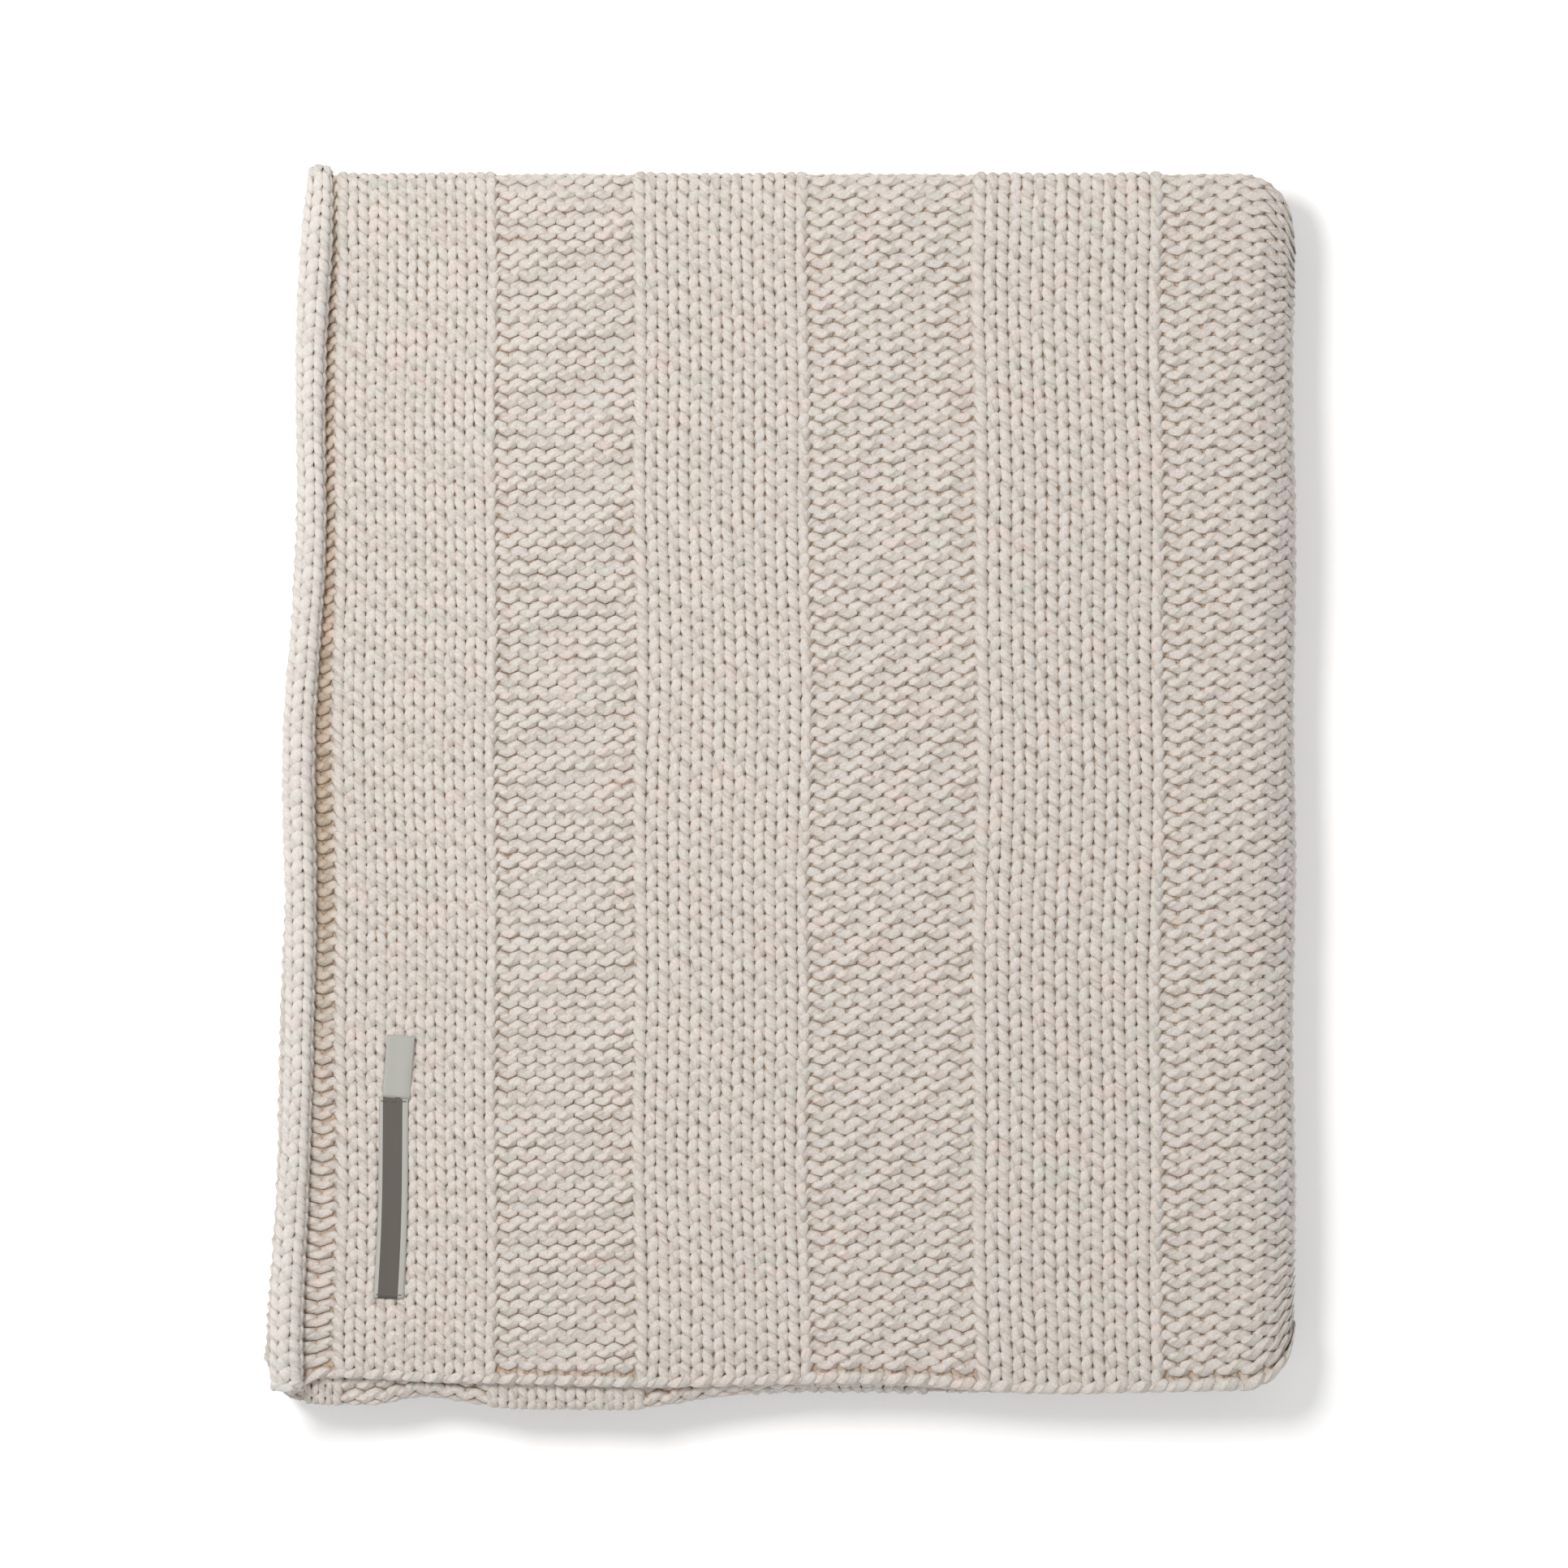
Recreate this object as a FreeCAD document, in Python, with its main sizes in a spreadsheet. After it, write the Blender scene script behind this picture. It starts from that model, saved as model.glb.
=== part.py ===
import FreeCAD, Part
import math
import os
import Sketcher

# Folded throw blanket: one chunky rib-knit panel, folded in thirds lengthwise and then in
# thirds across, with a woven label, a care tag and their sewing thread on the top layer.
#
# The lengthwise fold is a Z: three layers joined by a turn at the back and a turn at the front.
# That three-layer strip is then folded like a letter: the left third is tucked in, and the right
# third (the cover) wraps round it and lies on top. The cover's free edge curls up into a roll.
#
# Frame: +X to the right, +Y to the back, +Z up, origin under the middle, on the resting face.

FLIPPED = FreeCAD.Rotation(FreeCAD.Vector(0, 1, 0), 180)

DIMENSIONS = [
    ("fabric_thickness", 4.5, "one knitted layer"),
    ("layer_gap", 0.3, "air between two layers"),
    ("folded_width", 423.0, "across X, fold to curled edge"),
    ("folded_length", 508.0, "along Y, turn to turn"),
    ("strip_layers", 3, "layers in the strip after the lengthwise fold"),
    ("front_edge_inset", 6.0, "cast-off edge behind the front turn"),
    ("back_edge_inset", 8.0, "hidden cast-on edge in front of the back turn"),
    ("left_turn_inset", 3.5, "left turn of the strip inside the curled edge"),
    ("roll_height", 13.0, "curled selvedge, from the underside of its layer"),
    ("roll_flap", 7.5, "length that the curl lies back over the top layer"),
    ("label_width", 12.4, "woven ribbon label"),
    ("label_length", 83.6, "woven ribbon label"),
    ("label_thickness", 0.7, "folded ribbon"),
    ("label_across", -171.2, "X of the label's front left corner"),
    ("label_along", -213.0, "Y of the label's front left corner"),
    ("label_turn", -1.5, "turn of the label about Z, degrees"),
    ("tag_width", 11.6, "care tag"),
    ("tag_length", 26.0, "care tag, the part above the label"),
    ("tag_thickness", 0.4, "care tag"),
    ("tag_turn", -4.8, "turn of the care tag about Z, degrees"),
    ("tag_shift", 1.4, "care tag, in from the label's left side"),
    ("tag_start", 84.5, "care tag, its near end from the label's front end"),
    ("thread_diameter", 0.5, "sewing thread"),
    ("stitch_length", 2.2, "visible length of one sewing stitch"),
    ("stitch_inset", 1.6, "stitch row from the label's end"),
    ("stitches_per_end", 3, "evenly spaced across each end of the label"),
]

# Worked out from the driving dimensions above.
DERIVED = [
    ("layer_pitch", "fabric_thickness + layer_gap"),
    ("strip_pitch", "strip_layers * layer_pitch"),
    ("turn_radius", "fabric_thickness + layer_gap / 2"),
    ("back_turn", "folded_length / 2 - turn_radius"),
    ("front_edge", "folded_length / 2 - front_edge_inset"),
    ("back_edge", "folded_length / 2 - back_edge_inset"),
    ("left_axis_height", "strip_pitch - layer_gap / 2"),
    ("right_axis_height", "1.5 * strip_pitch - layer_gap / 2"),
    ("left_turn_axis", "left_turn_inset + left_axis_height - folded_width / 2"),
    ("right_turn_axis", "folded_width / 2 - right_axis_height"),
    ("curl_radius", "roll_height / 2"),
    ("curl_start", "curl_radius - folded_width / 2"),
    ("panel_length", "right_turn_axis - left_turn_axis"),
    ("cover_length", "right_turn_axis - curl_start"),
    ("tucked_top", "2 * left_axis_height"),
    ("cover_top", "2 * right_axis_height"),
    ("roll_length", "front_edge + back_turn"),
    ("curl_axis_height", "cover_top - fabric_thickness + curl_radius"),
]

doc = FreeCAD.newDocument("FoldedThrowBlanket")


def make_sheet():
    """The spreadsheet of driving and derived dimensions, each cell with a plain-word alias."""
    cells = doc.addObject("Spreadsheet::Sheet", "dimensions")
    row = 1
    for alias, value, note in DIMENSIONS:
        cells.set(f"A{row}", alias)
        cells.set(f"B{row}", str(value))
        cells.set(f"C{row}", note)
        cells.setAlias(f"B{row}", alias)
        row += 1
    for alias, formula in DERIVED:
        cells.set(f"A{row}", alias)
        cells.set(f"B{row}", "=" + formula)
        cells.setAlias(f"B{row}", alias)
        row += 1
    return cells


sheet = make_sheet()
doc.recompute()


def size(alias):
    """The value of one sheet cell, for places that take a number."""
    return float(sheet.get(alias))


def origin_plane(body, role):
    """One of the body's own origin planes."""
    return next(f for f in body.Origin.OriginFeatures if f.Role == role)


def new_body(label):
    body = doc.addObject("PartDesign::Body", label)
    body.Label = label
    return body


def new_sketch(body, name, role):
    sketch = body.newObject("Sketcher::SketchObject", name)
    sketch.AttachmentSupport = [(origin_plane(body, role), "")]
    sketch.MapMode = "FlatFace"
    return sketch


def point(u, v):
    return FreeCAD.Vector(u, v, 0)


def half_arc(u, v, radius, towards):
    """A half circle about (u, v) that bulges towards +u (1) or -u (-1)."""
    circle = Part.Circle(point(u, v), FreeCAD.Vector(0, 0, 1), radius)
    quarter = math.pi / 2
    if towards > 0:
        return Part.ArcOfCircle(circle, -quarter, quarter)
    return Part.ArcOfCircle(circle, quarter, 3 * quarter)


def bind(sketch, kind, arguments, name, expression):
    """A named dimension of the sketch that follows the sheet."""
    index = sketch.addConstraint(Sketcher.Constraint(kind, *arguments))
    sketch.renameConstraint(index, name)
    sketch.setExpression(f"Constraints.{name}", expression)


def z_fold_sketch(body, name, base_alias):
    """The strip's section in YZ: three layers, a turn at the back and a turn at the front.

    The strip's underside lies base_alias below the sketch's horizontal axis, or on it."""
    cloth, gap = size("fabric_thickness"), size("layer_gap")
    front_edge, back_edge = size("front_edge"), size("back_edge")
    turn, radius = size("back_turn"), size("turn_radius")
    base = -size(base_alias) if base_alias else 0.0
    level = [base, base + cloth, base + cloth + gap, base + 2 * cloth + gap]
    level += [base + 2 * cloth + 2 * gap, base + 3 * cloth + 2 * gap]
    back_middle = base + cloth + gap / 2
    front_middle = back_middle + cloth + gap
    sketch = new_sketch(body, name, "YZ_Plane")
    outline = [
        Part.LineSegment(point(-front_edge, level[0]), point(turn, level[0])),
        half_arc(turn, back_middle, radius, 1),
        Part.LineSegment(point(turn, level[3]), point(-turn, level[3])),
        half_arc(-turn, front_middle, gap / 2, -1),
        Part.LineSegment(point(-turn, level[4]), point(back_edge, level[4])),
        Part.LineSegment(point(back_edge, level[4]), point(back_edge, level[5])),
        Part.LineSegment(point(back_edge, level[5]), point(-turn, level[5])),
        half_arc(-turn, front_middle, radius, -1),
        Part.LineSegment(point(-turn, level[2]), point(turn, level[2])),
        half_arc(turn, back_middle, gap / 2, 1),
        Part.LineSegment(point(turn, level[1]), point(-front_edge, level[1])),
        Part.LineSegment(point(-front_edge, level[1]), point(-front_edge, level[0])),
    ]
    sketch.addGeometry(outline, False)
    start, end, centre = 1, 2, 3
    lower, outer_back, second, inner_front, fourth, back_end = range(6)
    top, outer_front, third, inner_back, first, front_end = range(6, 12)
    rows = (lower, second, fourth, top, third, first)
    # Each turn's arc runs smoothly into the layer at both of its ends.
    smooth = [
        (lower, end, outer_back, start),
        (outer_back, end, second, start),
        (second, end, inner_front, end),
        (inner_front, start, fourth, start),
        (top, end, outer_front, start),
        (outer_front, end, third, start),
        (third, end, inner_back, end),
        (inner_back, start, first, start),
    ]
    corners = [
        (fourth, end, back_end, start),
        (back_end, end, top, start),
        (first, end, front_end, start),
        (front_end, end, lower, start),
    ]
    for joined in smooth:
        sketch.addConstraint(Sketcher.Constraint("Tangent", *joined))
    for joined in corners:
        sketch.addConstraint(Sketcher.Constraint("Coincident", *joined))
    for row in rows:
        sketch.addConstraint(Sketcher.Constraint("Horizontal", row))
    for end_line in (back_end, front_end):
        sketch.addConstraint(Sketcher.Constraint("Vertical", end_line))
    sketch.addConstraint(Sketcher.Constraint("Coincident", outer_back, centre, inner_back, centre))
    sketch.addConstraint(Sketcher.Constraint("Coincident", outer_front, centre, inner_front, centre))
    bind(sketch, "DistanceY", (front_end, start, front_end, end, -cloth), "cloth",
         "-dimensions.fabric_thickness")
    bind(sketch, "Radius", (inner_back, gap / 2), "back_gap", "dimensions.layer_gap / 2")
    bind(sketch, "Radius", (inner_front, gap / 2), "front_gap", "dimensions.layer_gap / 2")
    bind(sketch, "DistanceX", (-1, 1, lower, start, -front_edge), "front_free_edge",
         "-dimensions.front_edge")
    bind(sketch, "DistanceX", (-1, 1, back_end, start, back_edge), "back_free_edge",
         "dimensions.back_edge")
    bind(sketch, "DistanceX", (-1, 1, lower, end, turn), "back_turn_place",
         "dimensions.back_turn")
    bind(sketch, "DistanceX", (-1, 1, top, end, -turn), "front_turn_place",
         "-dimensions.back_turn")
    if base_alias:
        bind(sketch, "DistanceY", (-1, 1, lower, start, base), "below_axis",
             "-dimensions." + base_alias)
    else:
        sketch.addConstraint(Sketcher.Constraint("PointOnObject", lower, start, -1))
    return sketch


def pad(body, sketch, name, length, reverse=False):
    feature = body.newObject("PartDesign::Pad", name)
    feature.Profile = sketch
    feature.Reversed = reverse
    feature.setExpression("Length", length)
    return feature


def place(body, across, along, height, rotation=FreeCAD.Rotation()):
    """Sets the body's turn and binds its place to the sheet."""
    body.Placement = FreeCAD.Placement(FreeCAD.Vector(0, 0, 0), rotation)
    body.setExpression(".Placement.Base.x", across)
    body.setExpression(".Placement.Base.y", along)
    body.setExpression(".Placement.Base.z", height)


def third_of_strip(label, length, across, height, flipped, reverse):
    """One flat third of the folded strip, three layers thick."""
    body = new_body(label)
    sketch = z_fold_sketch(body, label + "_section", None)
    pad(body, sketch, label + "_run", length, reverse)
    turned = FLIPPED if flipped else FreeCAD.Rotation()
    place(body, across, "0 mm", height, turned)
    return body


def turn_of_strip(label, axis_height, across, reverse):
    """A half turn of the three-layer strip about an axis along Y."""
    body = new_body(label)
    sketch = z_fold_sketch(body, label + "_section", axis_height)
    turn = body.newObject("PartDesign::Revolution", label + "_turn")
    turn.Profile = sketch
    turn.ReferenceAxis = (sketch, ["H_Axis"])
    turn.Angle = 180
    turn.Reversed = reverse
    place(body, across, "0 mm", "dimensions." + axis_height)
    return body


def selvedge_roll():
    """The cover's free edge: the top layer curls up and lies back over itself."""
    body = new_body("selvedge_roll")
    sketch = new_sketch(body, "roll_section", "XZ_Plane")
    outer, cloth, flap = size("curl_radius"), size("fabric_thickness"), size("roll_flap")
    inner = outer - cloth
    outline = [
        half_arc(0, 0, outer, -1),
        Part.LineSegment(point(0, -outer), point(0, -inner)),
        half_arc(0, 0, inner, -1),
        Part.LineSegment(point(0, inner), point(flap, inner)),
        Part.LineSegment(point(flap, inner), point(flap, outer)),
        Part.LineSegment(point(flap, outer), point(0, outer)),
    ]
    sketch.addGeometry(outline, False)
    start, end, centre = 1, 2, 3
    outside, root, inside, under, tip, over = range(6)
    joints = [
        (outside, end, root, start),
        (root, end, inside, end),
        (under, end, tip, start),
        (tip, end, over, start),
    ]
    for joined in joints:
        sketch.addConstraint(Sketcher.Constraint("Coincident", *joined))
    sketch.addConstraint(Sketcher.Constraint("Tangent", inside, start, under, start))
    sketch.addConstraint(Sketcher.Constraint("Tangent", over, end, outside, start))
    for row in (under, over):
        sketch.addConstraint(Sketcher.Constraint("Horizontal", row))
    for upright in (root, tip):
        sketch.addConstraint(Sketcher.Constraint("Vertical", upright))
    sketch.addConstraint(Sketcher.Constraint("Coincident", outside, centre, -1, 1))
    sketch.addConstraint(Sketcher.Constraint("Coincident", inside, centre, -1, 1))
    bind(sketch, "Radius", (outside, outer), "curl", "dimensions.curl_radius")
    bind(sketch, "Radius", (inside, inner), "hollow",
         "dimensions.curl_radius - dimensions.fabric_thickness")
    bind(sketch, "DistanceX", (over, end, over, start, flap), "flap", "dimensions.roll_flap")
    bind(sketch, "DistanceX", (-1, 1, outside, end, 0), "root_place", "0 mm")
    pad(body, sketch, "roll_run", "dimensions.roll_length")
    place(body, "dimensions.curl_start", "dimensions.back_turn", "dimensions.curl_axis_height")
    return body


def flat_ribbon(label, width, length, thickness, turn):
    """A thin woven strip that lies on the cover."""
    ribbon = doc.addObject("Part::Box", label)
    ribbon.Label = label
    ribbon.setExpression("Length", "dimensions." + width)
    ribbon.setExpression("Width", "dimensions." + length)
    ribbon.setExpression("Height", "dimensions." + thickness)
    ribbon.setExpression(".Placement.Rotation.Angle", "dimensions." + turn)
    return ribbon


def woven_label():
    label = flat_ribbon("woven_label", "label_width", "label_length", "label_thickness", "label_turn")
    label.setExpression(".Placement.Base.x", "dimensions.label_across")
    label.setExpression(".Placement.Base.y", "dimensions.label_along")
    label.setExpression(".Placement.Base.z", "dimensions.cover_top")
    return label


def care_tag():
    """The plain tag that stands out beyond the label's upper end."""
    tag = flat_ribbon("care_tag", "tag_width", "tag_length", "tag_thickness", "tag_turn")
    start = "dimensions.tag_start"
    lean = "dimensions.label_turn * 1 deg"
    aside = f"dimensions.label_across + dimensions.tag_shift - {start} * sin({lean})"
    tag.setExpression(".Placement.Base.x", aside)
    tag.setExpression(".Placement.Base.y", f"dimensions.label_along + {start} * cos({lean})")
    tag.setExpression(".Placement.Base.z", "dimensions.cover_top")
    return tag


def label_stitches():
    """Short lengths of sewing thread that hold the label down at each of its ends."""
    turned = FreeCAD.Rotation(FreeCAD.Vector(0, 0, 1), size("label_turn"))
    way = turned.multVec(FreeCAD.Vector(1, 0, 0))
    corner = FreeCAD.Vector(size("label_across"), size("label_along"), 0)
    height = size("cover_top") + size("label_thickness") + size("thread_diameter") / 2
    ends = (size("stitch_inset"), size("label_length") - size("stitch_inset"))
    count = int(size("stitches_per_end"))
    spacing = size("label_width") / count
    stitches = []
    for end in ends:
        for number in range(count):
            middle = (number + 1 / 2) * spacing
            foot = corner + turned.multVec(FreeCAD.Vector(middle - size("stitch_length") / 2, end, 0))
            foot.z = height
            stitches.append(
                Part.makeCylinder(size("thread_diameter") / 2, size("stitch_length"), foot, way)
            )
    thread = doc.addObject("Part::Feature", "label_stitches")
    thread.Label = "label_stitches"
    thread.Shape = Part.makeCompound(stitches)
    return thread


sub_parts = [
    third_of_strip("base_third", "dimensions.panel_length", "dimensions.left_turn_axis",
                   "0 mm", flipped=False, reverse=False),
    turn_of_strip("left_turn", "left_axis_height", "dimensions.left_turn_axis", reverse=False),
    third_of_strip("tucked_third", "dimensions.panel_length - dimensions.layer_gap",
                   "dimensions.left_turn_axis", "dimensions.tucked_top", flipped=True, reverse=True),
    turn_of_strip("right_turn", "right_axis_height", "dimensions.right_turn_axis", reverse=True),
    third_of_strip("cover_third", "dimensions.cover_length", "dimensions.right_turn_axis",
                   "dimensions.cover_top", flipped=True, reverse=False),
    selvedge_roll(),
    woven_label(),
    care_tag(),
    label_stitches(),
]

doc.recompute()


def check_everything():
    """Stops before anything is written if an object failed or a shape is unsound."""
    for item in doc.Objects:
        if "Invalid" in item.State or "Error" in item.State:
            raise RuntimeError(f"{item.Label} failed: {item.State}")
    for sub_part in sub_parts:
        if sub_part.Shape.isNull() or not sub_part.Shape.isValid():
            raise RuntimeError(f"{sub_part.Label} has no sound shape")


def write_parts():
    os.makedirs("parts", exist_ok=True)
    for sub_part in sub_parts:
        box = sub_part.Shape.BoundBox
        sides = (box.XMin, box.XMax, box.YMin, box.YMax, box.ZMin, box.ZMax)
        corners = ", ".join(f"{side:.2f}" for side in sides)
        print(f"{sub_part.Label}: {len(sub_part.Shape.Solids)} solids, "
              f"{sub_part.Shape.Volume:.0f} mm3, box {corners}")
        sub_part.Shape.exportStep(f"parts/{sub_part.Label}.step")


check_everything()
write_parts()
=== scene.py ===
"""Folded rib-knit throw blanket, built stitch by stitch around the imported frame.

The knitted panel is described once, in fabric coordinates: along (across the wales, measured on the
outer layer), run (along the wales) and lift (out of the cloth, towards its outer face). Yarn and
ground cloth are made in those coordinates and then folded by fold(), as the real panel is: first
lengthwise into a Z, then across like a letter.
"""
import math
import bpy
import numpy as np
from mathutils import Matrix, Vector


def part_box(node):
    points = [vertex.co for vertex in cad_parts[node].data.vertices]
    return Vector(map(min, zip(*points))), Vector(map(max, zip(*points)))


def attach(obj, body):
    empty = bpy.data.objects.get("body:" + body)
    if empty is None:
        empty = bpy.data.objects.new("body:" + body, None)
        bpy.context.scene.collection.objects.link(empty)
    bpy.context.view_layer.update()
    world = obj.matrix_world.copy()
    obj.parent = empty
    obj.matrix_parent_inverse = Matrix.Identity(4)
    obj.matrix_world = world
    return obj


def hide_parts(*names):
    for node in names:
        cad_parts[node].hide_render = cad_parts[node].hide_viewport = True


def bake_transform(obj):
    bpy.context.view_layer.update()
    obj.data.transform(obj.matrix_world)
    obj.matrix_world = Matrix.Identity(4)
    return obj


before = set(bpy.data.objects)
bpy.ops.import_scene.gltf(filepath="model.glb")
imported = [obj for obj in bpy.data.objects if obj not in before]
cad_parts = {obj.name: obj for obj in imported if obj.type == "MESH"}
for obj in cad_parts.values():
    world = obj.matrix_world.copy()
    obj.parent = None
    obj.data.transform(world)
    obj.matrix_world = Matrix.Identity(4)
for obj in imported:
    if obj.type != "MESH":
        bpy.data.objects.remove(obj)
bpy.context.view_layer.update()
random = np.random.default_rng(210)

# ---------------------------------------------------------------------------------------------
# Sizes from the frame, in metres
# ---------------------------------------------------------------------------------------------
base_low, base_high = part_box("base_third")
cover_low, cover_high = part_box("cover_third")
label_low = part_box("woven_label")[0]
tag_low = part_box("care_tag")[0]

STRIP_LAYERS = 3                             # layers in each third of the panel
PITCH = cover_low.z / (2 * STRIP_LAYERS)     # one layer and its air gap; two thirds lie under the cover
STRIP = base_high.z - base_low.z             # height of one third
GAP = STRIP_LAYERS * PITCH - STRIP
RIGHT_X, LEFT_X = base_high.x, base_low.x    # axes of the two turns across
RIGHT_AXIS_Z = 1.5 * STRIP_LAYERS * PITCH - GAP / 2
LEFT_AXIS_Z = STRIP_LAYERS * PITCH - GAP / 2
RIGHT_RADIUS = STRIP_LAYERS * PITCH          # turns across, to the middle layer
LEFT_RADIUS = STRIP_LAYERS * PITCH / 2
HALF = base_high.y                           # from the middle to the back or front turn
TURN_Y = HALF - (PITCH - GAP / 2)            # where the lengthwise turns start
BASE_MID_Z = STRIP / 2
COVER_TOP = cover_high.z

# ---------------------------------------------------------------------------------------------
# The knit
# ---------------------------------------------------------------------------------------------
ROW = 0.00578                                # row pitch
FIRST_ROW = 0.80                             # middle of the first row from the edge, in rows
LEG = 0.25                                   # where a stitch's legs stand, from its sides, in wales
LOOP_HALF_HEIGHT = 0.70 * ROW
PURL_HALF_HEIGHT = 0.742 * ROW
KNIT_BULGE = 0.205                           # sideways swing of the yarn, as a share of a wale
PURL_BULGE = 0.200
CHANGE_BULGE = 0.3                           # what is left of it between a knit and a purl wale
RELIEF = 0.00100                             # the yarn's swing out of the cloth
BAND_EDGE_LIFT = 0.0008                      # how far a band's outermost wales stand out, or in if purl
YARN_SHARE = 0.262                           # yarn radius, as a share of its fullness
FLATTEN = 0.76                               # yarn thickness over its width
PLY_TURN = 0.0125                            # length of one full turn of the two plies
PLY_DEPTH = 0.085                            # how deep the plies groove the yarn, as a share of its radius
USUAL_WALE = 0.0086
WIDEST_WALE = 0.0096                         # wale at which the yarn is at its fullest
CREST = RELIEF + YARN_SHARE * USUAL_WALE * FLATTEN   # from the middle of the cloth to the top of its yarn

FRONT_EDGE = HALF - 0.0065                   # bound-off edge of the outer layer
BACK_EDGE = HALF - 0.0080                    # cast-on edge of the inner layer
TURN_RUN = math.pi * 0.75 * PITCH            # cloth that a lengthwise turn takes up
LAYER_RUN = FRONT_EDGE + TURN_Y
RUN_ENDS = np.cumsum([LAYER_RUN, TURN_RUN, 2 * TURN_Y, TURN_RUN, TURN_Y + BACK_EDGE])
PANEL_LENGTH = float(RUN_ENDS[-1])
ROWS = int(PANEL_LENGTH / ROW)

RIB_LEFT_X = -0.1868                         # left edge of the first knit band on the cover
COVER_RUN = RIGHT_X - RIB_LEFT_X
FLAT_RUN = RIGHT_X - LEFT_X
RIGHT_ARC = math.pi * (RIGHT_RADIUS + PITCH)  # turn lengths on the outer layer
LEFT_ARC = math.pi * (LEFT_RADIUS + PITCH)
TUCKED_SHORT = 0.001                         # what the tucked third stops short of the right turn
SECTION_ENDS = np.cumsum([COVER_RUN, RIGHT_ARC, FLAT_RUN, LEFT_ARC, FLAT_RUN - TUCKED_SHORT])
COVER_END, TURN_END, BASE_END, LEFT_END, TUCKED_END = SECTION_ENDS

BAND = 8                                     # wales in one rib band
# Width that shows of each rib band on the cover, knit and purl by turns, and of the bands after.
SHOWN_BANDS = [0.0660, 0.0582, 0.0716, 0.0692, 0.0770, 0.0742]
KNIT_BAND, PURL_BAND = 0.0720, 0.0660
PURL_TUCK_LEFT, PURL_TUCK_RIGHT = 0.0015, 0.0012   # first and last purl wale, from the band's edges
SELVEDGE = 5                                 # wales left of the first knit band
SELVEDGE_WALE = 0.0078
FLAT_SELVEDGE = 0.0135                       # part of the selvedge band that lies flat
ROLL_RADIUS = 0.0044                         # curl, to the middle of the cloth
SOLE = 0.0025                                # height up to which the cloth is pressed flat


def wale_table():
    """Centre and width of every wale along the panel, and whether it is a knit (1) or purl (-1) one."""
    centres, widths, faces = [], [], []
    for wale in range(SELVEDGE, 0, -1):
        centres.append(-PURL_TUCK_RIGHT - (wale - 1) * SELVEDGE_WALE)
        widths.append(SELVEDGE_WALE)
        faces.append(-1)
    start, band = 0.0, 0
    while start < TUCKED_END:
        knit = band % 2 == 0
        width = SHOWN_BANDS[band] if band < len(SHOWN_BANDS) else (KNIT_BAND if knit else PURL_BAND)
        if knit:
            pitch, first = width / BAND, start + width / BAND / 2
        else:
            pitch = (width - PURL_TUCK_LEFT - PURL_TUCK_RIGHT) / (BAND - 1)
            first = start + PURL_TUCK_LEFT
        centres += [first + pitch * wale for wale in range(BAND)]
        widths += [pitch] * BAND
        faces += [1 if knit else -1] * BAND
        start, band = start + width, band + 1
    return np.array(centres), np.array(widths), np.array(faces, float)


def yarn_fullness():
    """The wale width that each wale's yarn would suit: it bulks up in tight wales and purl bands."""
    knit_bulking, purl_start, purl_growth, selvedge_bulking = 0.38, 0.0069, 0.24, 1.04
    knit = WIDTHS + knit_bulking * (WIDEST_WALE - WIDTHS)
    purl = purl_start + purl_growth * WIDTHS
    fullness = np.where(FACES > 0, knit, purl)
    fullness[:SELVEDGE] = WIDTHS[:SELVEDGE] * selvedge_bulking
    return fullness


CENTRES, WIDTHS, FACES = wale_table()
WALES = len(CENTRES)
WALE_MIDDLES = np.arange(WALES) + 0.5
FULLNESS = yarn_fullness()


def smooth(value, low, high):
    """0 below low, 1 above high, and a smooth step between."""
    t = np.clip((value - low) / (high - low), 0, 1)
    return t * t * (3 - 2 * t)


def wale_at(along):
    """The wale number, with its fraction, at a length along the panel."""
    return np.interp(along, CENTRES, WALE_MIDDLES)


# ---------------------------------------------------------------------------------------------
# Folding
# ---------------------------------------------------------------------------------------------
def roll_centre(y):
    """X of the curled selvedge's middle: it leans, further left towards the front."""
    middle, lean, sway = -0.2004, 0.0060, 0.0010
    return middle + lean * (y / HALF) - sway * np.cos(2.6 * math.pi * y / HALF)


def front_wave(x):
    """How far the cloth's front edge stands behind its straight line."""
    left_back, tip_out, right_out, ripple = 0.0032, 0.0046, 0.0026, 0.0008
    left = left_back * (1 - smooth(x, -0.190, -0.135)) - tip_out * (1 - smooth(x, -0.204, -0.192))
    return left - right_out * smooth(x, 0.030, 0.110) + ripple * np.sin(x * 38.0 + 0.6)


def flat_bump(x, height, middle, reach):
    """A flat-topped bump of this height round a middle place."""
    return height * np.exp(-((x - middle) / reach) ** 4)


def lower_front_bulge(x):
    """How far the lower layers' front turn stands out past the straight line."""
    hump = flat_bump(x, 0.0062, -0.088, 0.048)
    corner = flat_bump(x, 0.0042, -0.184, 0.026)
    right_in = 0.0035
    return hump + corner - right_in * smooth(x, -0.03, 0.02)


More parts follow.
